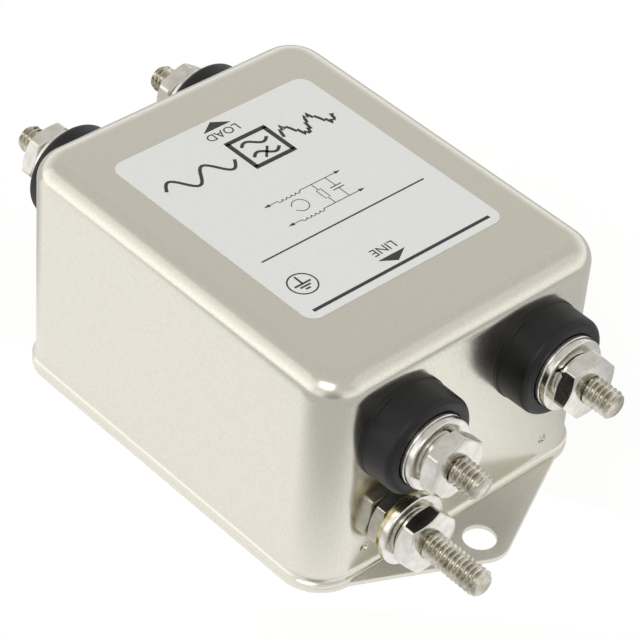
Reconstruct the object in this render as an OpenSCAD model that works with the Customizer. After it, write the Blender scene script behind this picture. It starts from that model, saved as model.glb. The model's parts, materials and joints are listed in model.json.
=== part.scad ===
// EMI line filter: a drawn steel can on a flat two-ear base plate, with two insulated
// stud terminals at each end, a ground stud and the filter network inside.
// Units are millimetres. +Z is up, +X points to the LINE end, -X to the LOAD end, and
// the origin is at the centre of the base plate's underside.

/* [Can] */
// Outside length of the can, wall to wall
can_length = 64.1; // [60:0.5:80]
// Outside width of the can, wall to wall
can_width = 51.4; // [50:0.5:70]
// Height of the can above the base plate
can_height = 35.9; // [34:0.5:45]
// Thickness of the can's steel sheet
can_sheet = 0.8; // [0.6:0.1:1.2]
// Outside radius of the four upright corners
corner_radius = 5.9; // [4.5:0.1:8]
// Outside radius of the edge round the top
top_radius = 3.5; // [2:0.1:4.2]
// How far the flared lip stands out from the wall
lip_reach = 0.6; // [0.3:0.1:1.2]
// Height of the lip's cut edge
lip_edge = 0.65; // [0.4:0.05:1]
// Radius of the hollow between lip and wall
lip_radius = 1.4; // [1.2:0.1:2.5]
// Distance of the staked dimples from the can's side wall
dimple_offset = 8.5; // [8.2:0.1:12]
// Height of the staked dimples above the base plate
dimple_height = 4.6; // [3.5:0.1:4.8]
// Diameter of a staked dimple
dimple_diameter = 1.5; // [1:0.1:2]
// Depth of a staked dimple
dimple_depth = 0.45; // [0.3:0.05:0.5]

/* [Base plate] */
// Thickness of the base plate
plate_thickness = 0.8; // [0.6:0.1:1.6]
// Diameter of the mounting hole in each ear
mount_hole_diameter = 4.8; // [4:0.1:6]
// Distance from the can's end wall to the mounting hole
mount_hole_offset = 5.5; // [5.4:0.1:12]
// Radius of the ear's rounded tip, about the hole
ear_tip_radius = 4.4; // [4:0.1:5.2]
// Half of the ear's width where it meets the can
ear_root = 21.3; // [12:0.1:21.5]

/* [Label] */
// Length of the label, along X
label_length = 41.4; // [20:0.5:48]
// Width of the label, along Y
label_width = 35.8; // [20:0.5:42]
// Thickness of the label
label_thickness = 0.12; // [0.08:0.02:0.3]
// Radius of the label's corners
label_corner = 2; // [0.5:0.5:4]
// Shift of the label's middle toward the LOAD end
label_shift = 1.4; // [0:0.1:4]

/* [Terminals] */
// Distance between the two studs of one end
terminal_spacing = 25; // [22:0.5:27]
// Height of the stud axes above the base plate
terminal_height = 23.95; // [23.5:0.05:24.5]
// Major diameter of the stud thread
stud_diameter = 4.16; // [3.8:0.02:4.8]
// How much smaller the stud's shank is, where nut and stud meet at the pitch diameter
thread_depth = 0.5; // [0.4:0.02:0.6]
// How far a terminal stud reaches out from the wall
stud_reach = 15.1; // [13:0.1:20]
// Chamfer on a stud's flat end
stud_chamfer = 0.45; // [0.2:0.05:0.8]
// Diameter of the moulded insulator's body
insulator_diameter = 15.2; // [14:0.1:17]
// How far the insulator stands out from the wall
insulator_length = 5.5; // [4.5:0.1:8]
// Height of the insulator's foot against the wall
foot_height = 0.5; // [0.3:0.1:1]
// How far the foot stands out beyond the body
foot_reach = 0.25; // [0.1:0.05:0.5]
// Radius of the insulator's front edge
insulator_edge = 1; // [0.4:0.1:1.6]
// Depth of the recess that seats the first washer
recess_depth = 0.4; // [0.2:0.1:0.8]
// Diameter of the insulator's neck through the wall
neck_diameter = 9.8; // [8:0.1:10.5]
// Diameter of the inner insulator
inner_insulator_diameter = 13.6; // [12:0.1:14]
// Thickness of the inner insulator
inner_insulator_thickness = 2; // [1.5:0.1:2.4]

/* [Fasteners] */
// Outside diameter of a flat washer
washer_diameter = 11.1; // [9:0.1:12]
// Thickness of a flat washer
washer_thickness = 1.05; // [0.6:0.05:1.4]
// Outside diameter of a split lock washer
lock_washer_diameter = 7.4; // [6.6:0.1:8]
// Thickness of a split lock washer
lock_washer_thickness = 0.8; // [0.6:0.1:1.2]
// Width of the split in a lock washer
lock_washer_split = 0.5; // [0.3:0.1:1]
// Width of a hex nut across its flats
nut_across_flats = 8.73; // [8:0.01:9.6]
// Thickness of a hex nut
nut_thickness = 2.6; // [2:0.1:3.4]
// Thickness of the jam nut on the ground stud
jam_nut_thickness = 2.4; // [1.8:0.1:3]
// Width of a stud's hex head across its flats
head_across_flats = 6.35; // [5.5:0.05:7]
// Thickness of a stud's hex head
head_thickness = 2.3; // [1.6:0.1:2.6]
// Diameter of the ring of a solder lug
lug_diameter = 6.4; // [5.6:0.1:6.6]
// Thickness of a solder lug
lug_thickness = 0.8; // [0.5:0.1:1]
// Width of the tongue of a solder lug
lug_tongue_width = 3; // [2:0.1:4]

/* [Ground stud] */
// Distance of the ground stud from the can's side wall
ground_offset = 13.2; // [13.1:0.1:14.7]
// Height of the ground stud above the base plate
ground_height = 8.1; // [8:0.05:8.5]
// How far the ground stud reaches out from the wall
ground_reach = 17.5; // [14:0.1:24]
// Outside diameter of the plated contact washer
contact_washer_diameter = 10.4; // [8.5:0.1:11]
// Thickness of the plated contact washer
contact_washer_thickness = 0.85; // [0.6:0.05:1.2]

/* [Filter network] */
// Thickness of the insulating sheet on the base plate
liner_thickness = 0.5; // [0.3:0.1:1]
// Outside diameter of the choke's ring core
core_diameter = 30; // [26:0.5:31]
// Hole through the ring core
core_hole = 17; // [15:0.5:18]
// Height of the ring core
core_height = 12; // [9:0.5:12]
// Diameter of the winding wire
wire_diameter = 1.8; // [1.2:0.1:1.8]
// Turns in each of the two windings
winding_turns = 9; // [5:1:12]
// Part of the ring that each winding covers, in degrees
winding_angle = 140; // [100:5:145]
// Distance of the choke's axis from the middle, toward LINE
choke_shift = 9; // [8:0.5:9.5]
// Thickness of the divider between the windings
divider_thickness = 1.6; // [1:0.1:2.4]
// Length of the X capacitor, across the can
x_cap_length = 26.5; // [26:0.5:30]
// Thickness of the X capacitor
x_cap_thickness = 9; // [7:0.5:10]
// Height of the X capacitor
x_cap_height = 17; // [14:0.5:17]
// Length of a Y capacitor, across the can
y_cap_length = 11; // [9:0.5:11]
// Thickness of a Y capacitor
y_cap_thickness = 5; // [4:0.5:5]
// Height of a Y capacitor
y_cap_height = 10; // [8:0.5:11]
// Diameter of the bleed resistor's body
resistor_diameter = 4; // [3:0.1:4.4]
// Length of the bleed resistor's body
resistor_length = 11; // [8:0.5:14]
// Diameter of a component's own lead
lead_diameter = 0.8; // [0.6:0.1:1]

/* [Hidden] */
$fn = 96;

// Clearances
seat_gap = 0.05;      // between faces that rest on each other inside
bore_gap = 0.09;      // between a stud and a hole that it passes through
thread_gap = 0.03;    // between a nut's bore and the stud's shank
neck_gap = 0.1;       // between the insulator's neck and the holes it fills
neck_set_back = 0.3;  // from the neck's end to the inner insulator's face
washer_gap = 0.15;    // round the washer in the insulator's recess
winding_gap = 0.1;    // between the core and the wire on it
pair_gap = 1.1;       // between the two Y capacitors
liner_gap = 0.5;      // round the insulating sheet
cap_gap = 2;          // between neighbouring components
lead_rise = 0.3;      // between a lead and the component under it
leg_sink = 0.1;       // how far a component's own lead starts inside its case
x_cap_leg_inset = 0.75;  // from the end of the X capacitor's case to its lead
joint = 0.01;         // overlap of shapes that are one piece
cut = 1;              // how far a cutting shape passes a face

// Small forms
hex_face = 0.48;      // end face's radius as a share of a hexagon's width across flats
dimple_floor = 0.4;   // a dimple's floor as a share of its diameter
dimple_back = 0.6;    // its bump's top inside the can, as a share of its diameter
dimple_root = 0.2;    // how far the bump starts inside the sheet
bend_swell = 1.08;    // a wire's thickness at a bend, as a share of its diameter
core_ease = 0.8;      // the core's chamfer
turn_share = 0.8;     // part of the winding's pitch that a turn of wire fills

// Levels, from the base plate's underside
can_z = plate_thickness;
liner_top = plate_thickness + liner_thickness;
stud_z = can_z + terminal_height;
ground_z = can_z + ground_height;
top_z = can_z + can_height;
lip_top = lip_edge + sqrt(pow(lip_radius, 2) - pow(lip_radius - lip_reach, 2));

// Walls
wall_x = can_length / 2;
inner_x = wall_x - can_sheet;
inner_y = can_width / 2 - can_sheet;
dimple_y = can_width / 2 - dimple_offset;
ground_y = can_width / 2 - ground_offset;

// Bores
shank_diameter = stud_diameter - thread_depth;
bore_diameter = stud_diameter + 2 * bore_gap;
neck_hole = neck_diameter + 2 * neck_gap;

// Places along a terminal's axis, outward from the wall's outer face
washer_1_at = insulator_length - recess_depth;
washer_2_at = washer_1_at + washer_thickness;
lock_at = washer_2_at + washer_thickness;
nut_at = lock_at + lock_washer_thickness;
inner_insulator_at = can_sheet + inner_insulator_thickness;
lug_at = inner_insulator_at + lug_thickness;
terminal_head_at = lug_at + head_thickness;

// Places along the ground stud's axis
contact_at = jam_nut_thickness;
ground_washer_at = contact_at + contact_washer_thickness;
ground_lock_at = ground_washer_at + washer_thickness;
ground_nut_at = ground_lock_at + lock_washer_thickness;
ground_lug_at = can_sheet + lug_thickness;
ground_head_at = ground_lug_at + head_thickness;

// Base clips
clip_width = 4.4;     // along the wall
clip_foot = 4;        // inward on the base plate
clip_sheet = 0.7;     // thickness
clip_rise = 1.3;      // above the middle of its hole
clip_height = dimple_height + clip_rise;

// Filter network
core_radius = core_diameter / 2;
winding_outer = core_radius + winding_gap + wire_diameter;
winding_height = core_height + 2 * (winding_gap + wire_diameter);
winding_top = liner_top + winding_height;
x_cap_x = choke_shift - winding_outer - cap_gap - x_cap_thickness / 2;
x_cap_top = liner_top + x_cap_height;
y_cap_x = x_cap_x - x_cap_thickness / 2 - cap_gap - y_cap_thickness / 2;
y_cap_y = pair_gap / 2 + y_cap_length / 2;
y_cap_top = liner_top + y_cap_height;
lead_row = terminal_spacing / 2;
wire_radius = wire_diameter / 2;
tap_share = 0.42;           // where a lead meets its winding, as a share of the radius
tap_x = winding_outer * tap_share;
line_lead_z = winding_top + lead_rise + wire_radius;
load_lead_z = max(x_cap_top + 2 * lead_rise, winding_top + lead_rise) + wire_radius;
ground_wire_diameter = 1.2;
ground_lead_rise = 4;       // above the Y capacitors
ground_lead_side = 3.4;     // from the side wall
ground_lead_front = 0.9;    // from the base clips' feet
ground_lead_z = y_cap_top + ground_lead_rise;
ground_lead_y = -inner_y + ground_lead_side;
ground_lead_x = inner_x - clip_foot - ground_lead_front;
line_tongue = stud_z - line_lead_z + wire_radius;
load_tongue = stud_z - load_lead_z + wire_radius;
ground_tongue = ground_lead_z - ground_z + ground_wire_diameter / 2;

// Angle to which each nut was turned when tightened: line 1, line 2, load 1, load 2
nut_turns = [50, 42, 20, 5];
jam_nut_turn = 45;
ground_nut_turn = 43;

// ---------- Shared shapes ----------

// Flat shape of a rectangle with round corners, centred
module rounded_rectangle(length, width, radius) {
    square([length - 2 * radius, width], center = true);
    square([length, width - 2 * radius], center = true);
    for (x = [-1, 1], y = [-1, 1])
        translate([x * (length / 2 - radius), y * (width / 2 - radius)]) circle(radius);
}

// Section with its outer top corner rounded, from the origin outward
module rounded_section(reach, height, radius) {
    difference() {
        square([reach, height]);
        difference() {
            translate([reach - radius, height - radius]) square(radius + cut);
            translate([reach - radius, height - radius]) circle(radius);
        }
    }
}

// Sweeps a section round a rectangular footprint with round corners
module sweep_footprint(length, width, radius) {
    for (turn = [0, 180]) rotate(turn) {
        translate([length / 2 - radius, width / 2 - radius]) rotate_extrude(angle = 90) children();
        translate([-(length / 2 - radius), width / 2 - radius])
            rotate(90) rotate_extrude(angle = 90) children();
        translate([0, width / 2 - radius, 0])
            rotate([90, 0, 90]) linear_extrude(length - 2 * radius, center = true) children();
        translate([length / 2 - radius, 0, 0])
            rotate([90, 0, 0]) linear_extrude(width - 2 * radius, center = true) children();
    }
}

module ring(outer, inner, height) {
    difference() {
        cylinder(d = outer, h = height);
        translate([0, 0, -cut]) cylinder(d = inner, h = height + 2 * cut);
    }
}

// Hexagon with both end faces chamfered to a circle, as a nut or a screw head
module hex_blank(across_flats, height) {
    corner = across_flats / cos(30) / 2;
    face = across_flats * hex_face;
    drop = (corner - face) * tan(30);
    intersection() {
        cylinder(r = corner, h = height, $fn = 6);
        rotate_extrude() polygon([
            [0, 0], [face, 0], [corner, drop], [corner, height - drop], [face, height], [0, height]
        ]);
    }
}

module hex_nut(height) {
    difference() {
        hex_blank(nut_across_flats, height);
        translate([0, 0, -cut]) cylinder(d = shank_diameter + 2 * thread_gap, h = height + 2 * cut);
    }
}

// Flat washer with its stamped edges eased
module flat_washer(outer, height) {
    ease = height * 0.15;
    rotate_extrude() polygon([
        [bore_diameter / 2, 0], [outer / 2 - ease, 0], [outer / 2, ease],
        [outer / 2, height - ease], [outer / 2 - ease, height], [bore_diameter / 2, height]
    ]);
}

module lock_washer() {
    difference() {
        ring(lock_washer_diameter, bore_diameter, lock_washer_thickness);
        translate([-lock_washer_diameter, -lock_washer_split / 2, -cut])
            cube([lock_washer_diameter, lock_washer_split, lock_washer_thickness + 2 * cut]);
    }
}

// Screw with its hex head behind z = 0. The shank runs at the pitch diameter through the
// nuts, and past the last one the free end has the thread's major diameter.
module stud(head_at, free_from, reach) {
    translate([0, 0, -head_at]) hex_blank(head_across_flats, head_thickness);
    translate([0, 0, -head_at + head_thickness / 2])
        cylinder(d = shank_diameter, h = head_at - head_thickness / 2 + free_from + joint);
    translate([0, 0, free_from]) rotate_extrude() polygon([
        [0, 0], [stud_diameter / 2, 0], [stud_diameter / 2, reach - free_from - stud_chamfer],
        [stud_diameter / 2 - stud_chamfer, reach - free_from], [0, reach - free_from]
    ]);
}

// Solder lug: a ring with a tongue along local +X
module lug(tongue) {
    difference() {
        union() {
            cylinder(d = lug_diameter, h = lug_thickness);
            translate([0, -lug_tongue_width / 2, 0]) cube([tongue, lug_tongue_width, lug_thickness]);
        }
        translate([0, 0, -cut]) cylinder(d = bore_diameter, h = lug_thickness + 2 * cut);
    }
}

// Straight round wire between two points
module rod(from, to, diameter) {
    step = to - from;
    span = norm(step);
    translate(from) rotate([0, acos(step.z / span), atan2(step.y, step.x)])
        cylinder(d = diameter, h = span);
}

// Bent wire through a list of points, with a small ball at each bend
module wire(points, diameter) {
    for (i = [0 : len(points) - 2]) rod(points[i], points[i + 1], diameter);
    for (i = [1 : len(points) - 2]) translate(points[i]) sphere(d = diameter * bend_swell);
}

// ---------- Places ----------

// Puts children on a terminal's axis, local +Z outward from the wall, local +X down
module at_terminal(end, row) {
    rotate(end > 0 ? 0 : 180)
        translate([wall_x, end * row * terminal_spacing / 2, stud_z]) rotate([0, 90, 0]) children();
}

module at_each_terminal() {
    for (end = [1, -1], row = [-1, 1]) at_terminal(end, row) children();
}

module at_ground() {
    translate([wall_x, -ground_y, ground_z]) rotate([0, 90, 0]) children();
}

// Puts children at each dimple, local +Z outward from the wall
module at_each_dimple() {
    for (turn = [0, 180], row = [-1, 1]) rotate(turn)
        translate([wall_x, row * dimple_y, can_z + dimple_height]) rotate([0, 90, 0]) children();
}

// ---------- Can and base ----------

// Section of the can's wall and roof, from a corner's axis outward
module can_section() {
    difference() {
        union() {
            rounded_section(corner_radius, can_height, top_radius);
            difference() {
                translate([corner_radius - can_sheet, 0])
                    square([can_sheet + lip_reach, lip_top]);
                translate([corner_radius + lip_radius, lip_top]) circle(lip_radius);
            }
        }
        translate([-cut, -cut]) rounded_section(
            corner_radius - can_sheet + cut, can_height - can_sheet + cut, top_radius - can_sheet);
    }
}

// Cutter through the wall, along its outward direction
module wall_hole(diameter) {
    translate([0, 0, -can_sheet - cut]) cylinder(d = diameter, h = can_sheet + 2 * cut);
}

module can() {
    color("gainsboro") difference() {
        union() {
            translate([0, 0, can_z]) sweep_footprint(can_length, can_width, corner_radius) can_section();
            translate([corner_radius - wall_x, corner_radius - can_width / 2, top_z - can_sheet])
                cube([can_length - 2 * corner_radius, can_width - 2 * corner_radius, can_sheet]);
            at_each_dimple() translate([0, 0, -can_sheet - dimple_depth])
                cylinder(d1 = dimple_diameter * dimple_back, d2 = dimple_diameter,
                    h = dimple_depth + dimple_root);
        }
        at_each_terminal() wall_hole(neck_hole);
        at_ground() wall_hole(bore_diameter);
        at_each_dimple() translate([0, 0, -dimple_depth])
            cylinder(d1 = dimple_diameter * dimple_floor, d2 = dimple_diameter,
                h = dimple_depth + joint);
    }
}

// One ear's outline: straight edges that run tangent into the rounded tip
module ear_outline() {
    reach = norm([mount_hole_offset, ear_root]);
    lean = atan2(mount_hole_offset, ear_root) + asin(ear_tip_radius / reach);
    touch = ear_tip_radius - joint;
    tip = [mount_hole_offset + touch * cos(lean), touch * sin(lean)];
    polygon([
        [-corner_radius, -ear_root], [0, -ear_root], [tip.x, -tip.y],
        [tip.x, tip.y], [0, ear_root], [-corner_radius, ear_root]
    ]);
    translate([mount_hole_offset, 0]) circle(ear_tip_radius);
}

module base_plate() {
    color("silver") linear_extrude(plate_thickness) difference() {
        union() {
            rounded_rectangle(can_length + 2 * lip_reach, can_width + 2 * lip_reach,
                corner_radius + lip_reach);
            for (turn = [0, 180]) rotate(turn) translate([wall_x, 0]) ear_outline();
        }
        for (end = [-1, 1]) translate([end * (wall_x + mount_hole_offset), 0])
            circle(d = mount_hole_diameter);
    }
}

// Angle clips on the plate that the dimples in the end walls lock into
module base_clips() {
    color("darkgray") difference() {
        for (turn = [0, 180], row = [-1, 1]) rotate(turn)
            translate([inner_x - seat_gap, row * dimple_y - clip_width / 2, can_z]) {
                translate([-clip_sheet, 0, 0]) cube([clip_sheet, clip_width, clip_height]);
                translate([-clip_foot, 0, 0]) cube([clip_foot, clip_width, clip_sheet]);
            }
        at_each_dimple() translate([0, 0, -can_sheet - clip_sheet - cut])
            cylinder(d = dimple_diameter + 2 * bore_gap, h = clip_sheet + 2 * cut);
    }
}

module label() {
    color("whitesmoke") translate([-label_shift, 0, top_z]) linear_extrude(label_thickness)
        rounded_rectangle(label_length, label_width, label_corner);
}

// ---------- Terminals ----------

// Moulded insulator: foot, body with a rounded front edge, washer recess, and a neck
// through the wall
module insulator() {
    body = insulator_diameter / 2;
    foot = body + foot_reach;
    neck_end = can_sheet + inner_insulator_thickness - neck_set_back;
    color([0.12, 0.12, 0.12]) difference() {
        union() {
            cylinder(r = foot, h = foot_height);
            rotate_extrude() rounded_section(body, insulator_length, insulator_edge);
            translate([0, 0, -neck_end]) cylinder(d = neck_diameter, h = neck_end + joint);
        }
        translate([0, 0, insulator_length - recess_depth])
            cylinder(d = washer_diameter + 2 * washer_gap, h = recess_depth + cut);
        translate([0, 0, -neck_end - cut])
            cylinder(d = bore_diameter, h = neck_end + insulator_length + 2 * cut);
    }
}

module inner_insulators() {
    color([0.15, 0.15, 0.15]) at_each_terminal() translate([0, 0, -inner_insulator_at])
        ring(inner_insulator_diameter, neck_hole, inner_insulator_thickness - seat_gap);
}

module terminal_stud(end, row) {
    color("lightgray") at_terminal(end, row)
        stud(terminal_head_at, nut_at + nut_thickness + seat_gap, stud_reach);
}

module terminal_washers() {
    color("silver") at_each_terminal() translate([0, 0, washer_1_at])
        flat_washer(washer_diameter, washer_thickness);
}

module terminal_clamp_washers() {
    color("silver") at_each_terminal() translate([0, 0, washer_2_at])
        flat_washer(washer_diameter, washer_thickness);
}

module terminal_lock_washers() {
    color("gray") at_each_terminal() translate([0, 0, lock_at]) lock_washer();
}

module terminal_nuts() {
    color("lightgray") for (end = [1, -1], row = [-1, 1]) at_terminal(end, row)
        translate([0, 0, nut_at]) rotate(nut_turns[(1 - end) + (row + 1) / 2]) hex_nut(nut_thickness);
}

module terminal_lugs() {
    color("goldenrod") for (row = [-1, 1]) {
        at_terminal(1, row) translate([0, 0, -lug_at]) lug(line_tongue);
        at_terminal(-1, row) translate([0, 0, -lug_at]) lug(load_tongue);
    }
}

// ---------- Ground stud ----------

module ground_stud() {
    color("lightgray") at_ground()
        stud(ground_head_at, ground_nut_at + nut_thickness + seat_gap, ground_reach);
}

module ground_lug() {
    color("goldenrod") at_ground() translate([0, 0, -ground_lug_at]) rotate(180) lug(ground_tongue);
}

module ground_jam_nut() {
    color("lightgray") at_ground() rotate(jam_nut_turn) hex_nut(jam_nut_thickness);
}

module ground_contact_washer() {
    color("darkkhaki") at_ground() translate([0, 0, contact_at])
        flat_washer(contact_washer_diameter, contact_washer_thickness);
}

module ground_washer() {
    color("silver") at_ground() translate([0, 0, ground_washer_at])
        flat_washer(washer_diameter, washer_thickness);
}

module ground_lock_washer() {
    color("gray") at_ground() translate([0, 0, ground_lock_at]) lock_washer();
}

module ground_nut() {
    color("lightgray") at_ground() translate([0, 0, ground_nut_at])
        rotate(ground_nut_turn) hex_nut(nut_thickness);
}

// ---------- Filter network inside ----------

module base_liner() {
    color("khaki") translate([0, 0, can_z]) linear_extrude(liner_thickness) square([
        2 * (inner_x - seat_gap - clip_foot - liner_gap), 2 * (inner_y - corner_radius / 2)
    ], center = true);
}

module at_choke() {
    translate([choke_shift, 0, liner_top]) children();
}

module choke_core() {
    color("darkgreen") at_choke() translate([0, 0, winding_gap + wire_diameter]) rotate_extrude()
        polygon([
            [core_hole / 2, core_ease], [core_hole / 2 + core_ease, 0],
            [core_radius - core_ease, 0], [core_radius, core_ease],
            [core_radius, core_height - core_ease], [core_radius - core_ease, core_height],
            [core_hole / 2 + core_ease, core_height], [core_hole / 2, core_height - core_ease]
        ]);
}

// Section through one side of a winding: a frame round the core, between two distances
// from the core's own section
module winding_section(near, far) {
    difference() {
        translate([core_hole / 2 - far, wire_diameter + winding_gap - far])
            square([core_radius - core_hole / 2 + 2 * far, core_height + 2 * far]);
        translate([core_hole / 2 - near, wire_diameter + winding_gap - near])
            square([core_radius - core_hole / 2 + 2 * near, core_height + 2 * near]);
    }
}

// Winding: turns side by side, joined by the thinner layer between them
module winding(side) {
    pitch = winding_angle / winding_turns;
    turn_angle = pitch * turn_share;
    inset = turn_angle / 8;
    color("peru") at_choke() rotate(side * 90 - (winding_angle - pitch + turn_angle) / 2) {
        rotate(inset) rotate_extrude(angle = winding_angle - pitch + turn_angle - 2 * inset)
            winding_section(winding_gap, winding_gap + wire_diameter / 2);
        for (turn = [0 : winding_turns - 1]) rotate(turn * pitch) rotate_extrude(angle = turn_angle)
            winding_section(winding_gap + wire_diameter / 4, winding_gap + wire_diameter);
    }
}

module winding_divider() {
    width = core_hole - 4 * winding_gap;
    color("ivory") at_choke() translate([-width / 2, -divider_thickness / 2, 0])
        cube([width, divider_thickness, winding_height]);
}

module x_capacitor() {
    leg_y = x_cap_length / 2 - x_cap_leg_inset;
    color("gold") {
        translate([x_cap_x - x_cap_thickness / 2, -x_cap_length / 2, liner_top])
            cube([x_cap_thickness, x_cap_length, x_cap_height]);
        for (row = [-1, 1]) rod([x_cap_x, row * leg_y, x_cap_top - leg_sink],
            [x_cap_x, row * leg_y, load_lead_z - wire_radius - seat_gap], lead_diameter);
    }
}

// Y capacitor with one lead to its load lead and one to the ground lead
module y_capacitor(side) {
    line_x = y_cap_x + y_cap_thickness / 2 - lead_diameter;
    ground_x = y_cap_x - y_cap_thickness / 2 + lead_diameter;
    far_y = y_cap_y + y_cap_length / 4;
    near_y = y_cap_y - y_cap_length / 4;
    color("cornflowerblue") {
        translate([y_cap_x - y_cap_thickness / 2, side * y_cap_y - y_cap_length / 2, liner_top])
            cube([y_cap_thickness, y_cap_length, y_cap_height]);
        wire([
            [line_x, side * far_y, y_cap_top - leg_sink],
            [line_x, side * far_y, load_lead_z],
            [line_x, side * (lead_row - wire_radius - seat_gap), load_lead_z]
        ], lead_diameter);
        rod([ground_x, side * near_y, y_cap_top - leg_sink],
            [ground_x, side * near_y, ground_lead_z - ground_wire_diameter / 2 - seat_gap],
            lead_diameter);
    }
}

// Bleed resistor across the two load leads, lying on the X capacitor
module bleed_resistor() {
    rest_z = x_cap_top + seat_gap + resistor_diameter / 2;
    reach = lead_row - wire_radius - seat_gap;
    color("tan") {
        translate([x_cap_x, -resistor_length / 2, rest_z]) rotate([-90, 0, 0])
            cylinder(d = resistor_diameter, h = resistor_length);
        rod([x_cap_x, -reach, rest_z], [x_cap_x, reach, rest_z], lead_diameter);
    }
}

// Lead from a line terminal's lug to the top of its winding
module line_lead(row) {
    color("black") wire([
        [wall_x - lug_at - seat_gap, row * lead_row, line_lead_z],
        [choke_shift + tap_x, row * lead_row, line_lead_z],
        [choke_shift + tap_x, row * lead_row, winding_top + seat_gap]
    ], wire_diameter);
}

// Lead from a load terminal's lug over the X capacitor to the top of its winding
module load_lead(row) {
    color("maroon") wire([
        [-wall_x + lug_at + seat_gap, row * lead_row, load_lead_z],
        [choke_shift - tap_x, row * lead_row, load_lead_z],
        [choke_shift - tap_x, row * lead_row, winding_top + seat_gap]
    ], wire_diameter);
}

// Lead from the ground lug along the side wall to the two Y capacitors
module ground_lead() {
    ground_x = y_cap_x - y_cap_thickness / 2 + lead_diameter;
    color("green") wire([
        [wall_x - ground_lug_at - seat_gap, -ground_y, ground_lead_z],
        [ground_lead_x, -ground_y, ground_lead_z],
        [ground_lead_x, ground_lead_y, ground_lead_z],
        [ground_x, ground_lead_y, ground_lead_z],
        [ground_x, y_cap_y, ground_lead_z]
    ], ground_wire_diameter);
}

// ---------- Assembly ----------

can();
base_plate();
base_clips();
label();
at_terminal(1, -1) insulator();  // line_insulator_1
at_terminal(1, 1) insulator();  // line_insulator_2
at_terminal(-1, -1) insulator();  // load_insulator_1
at_terminal(-1, 1) insulator();  // load_insulator_2
inner_insulators();
terminal_stud(1, -1);  // line_stud_1
terminal_stud(1, 1);  // line_stud_2
terminal_stud(-1, -1);  // load_stud_1
terminal_stud(-1, 1);  // load_stud_2
terminal_washers();
terminal_clamp_washers();
terminal_lock_washers();
terminal_nuts();
terminal_lugs();
ground_stud();
ground_lug();
ground_jam_nut();
ground_contact_washer();
ground_washer();
ground_lock_washer();
ground_nut();
base_liner();
choke_core();
winding(-1);  // winding_1
winding(1);  // winding_2
winding_divider();
x_capacitor();
y_capacitor(-1);  // y_capacitor_1
y_capacitor(1);  // y_capacitor_2
bleed_resistor();
line_lead(-1);  // line_lead_1
line_lead(1);  // line_lead_2
load_lead(-1);  // load_lead_1
load_lead(1);  // load_lead_2
ground_lead();
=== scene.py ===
"""EMI line filter: the finished look of its drawn can, base plate, stud terminals, label
and the network inside. All lengths are metres on the frame; MM turns millimetres into them."""

import json
from math import acos, cos, degrees, pi, radians, sin, tan

import bmesh
import bpy
from mathutils import Matrix, Vector


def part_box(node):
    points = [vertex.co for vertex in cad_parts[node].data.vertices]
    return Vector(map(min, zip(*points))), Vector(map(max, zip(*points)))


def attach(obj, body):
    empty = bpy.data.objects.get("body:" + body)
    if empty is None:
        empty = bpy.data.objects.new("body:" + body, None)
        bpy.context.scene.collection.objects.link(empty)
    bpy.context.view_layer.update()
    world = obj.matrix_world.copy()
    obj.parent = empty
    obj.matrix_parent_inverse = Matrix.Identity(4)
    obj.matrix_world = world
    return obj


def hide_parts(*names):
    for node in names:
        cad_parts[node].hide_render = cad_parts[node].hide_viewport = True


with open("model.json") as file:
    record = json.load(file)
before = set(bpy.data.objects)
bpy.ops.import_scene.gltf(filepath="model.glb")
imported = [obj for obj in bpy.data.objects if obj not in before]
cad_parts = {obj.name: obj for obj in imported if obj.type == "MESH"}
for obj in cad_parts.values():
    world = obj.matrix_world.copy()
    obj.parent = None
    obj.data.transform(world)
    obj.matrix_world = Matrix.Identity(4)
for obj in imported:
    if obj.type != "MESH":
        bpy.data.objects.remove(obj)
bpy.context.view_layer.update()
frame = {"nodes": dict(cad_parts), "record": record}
nodes = frame["nodes"]
mounts = {m["name"]: m for m in frame["record"]["mounts"]}
MM = 0.001

# Places, from the frame
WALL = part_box("ground_jam_nut")[0].x  # outer face of the LINE end's wall
CAN_LOW, CAN_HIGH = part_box("can")
LIP_REACH = CAN_HIGH.x - WALL
HALF_WIDTH = CAN_HIGH.y - LIP_REACH
TERMINAL_Y = mounts["line_stud_2"]["pos_m"][1]
TERMINAL_Z = mounts["line_stud_2"]["pos_m"][2]
GROUND_Y, GROUND_Z = mounts["ground_stud"]["pos_m"][1:]
WASHER_LOW, WASHER_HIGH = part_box("ground_washer")
WASHER_RADIUS = (WASHER_HIGH.y - WASHER_LOW.y) / 2
LOCK_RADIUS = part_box("ground_lock_washer")[1].z - GROUND_Z
ENDS = {"line": 1, "load": -1}  # each end's name and its direction along X
ROWS = {"1": -1, "2": 1}  # each terminal's number and its side along Y

# Sizes that the frame's boxes don't give
SHEET = 0.8 * MM  # the can's wall
CORNER = 5.9 * MM  # radius of its upright corners
TOP_EDGE = 3.5 * MM  # radius round its roof
LIP_EDGE = 0.65 * MM  # height of the flared lip's edge
LIP_HOLLOW = 1.4 * MM  # radius of the hollow above it
TERMINAL_HOLE = 5.0 * MM  # radius of the hole round an insulator's neck
CLIP_WIDTH = 4.4 * MM
CLIP_RISE = 1.3 * MM  # how far a clip's top is above the middle of its dimple
# A staked dimple's section: millimetres out from the wall, and radius
DIMPLE_ROWS = [(-0.45, 0), (-0.45, 0.5), (-0.38, 0.62), (0, 0.74), (0.1, 0.78), (0.1, 0)]
PITCH = 0.794 * MM  # of a number 8 screw with 32 turns per inch
MAJOR = mounts["line_stud_1"]["dims"]["r_mm"] * MM
SHANK = 1.83 * MM
BORE = 2.17 * MM  # clearance radius round a stud
NUT_FLATS = 8.73 * MM
HEAD_FLATS = 6.35 * MM
HEX_CORNER = 0.985  # what is left of a hexagon's corner radius once it is eased
FACE_SHARE = 0.48  # a chamfered face's radius as a share of the width across flats
CHAMFER = tan(pi / 6)
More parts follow.
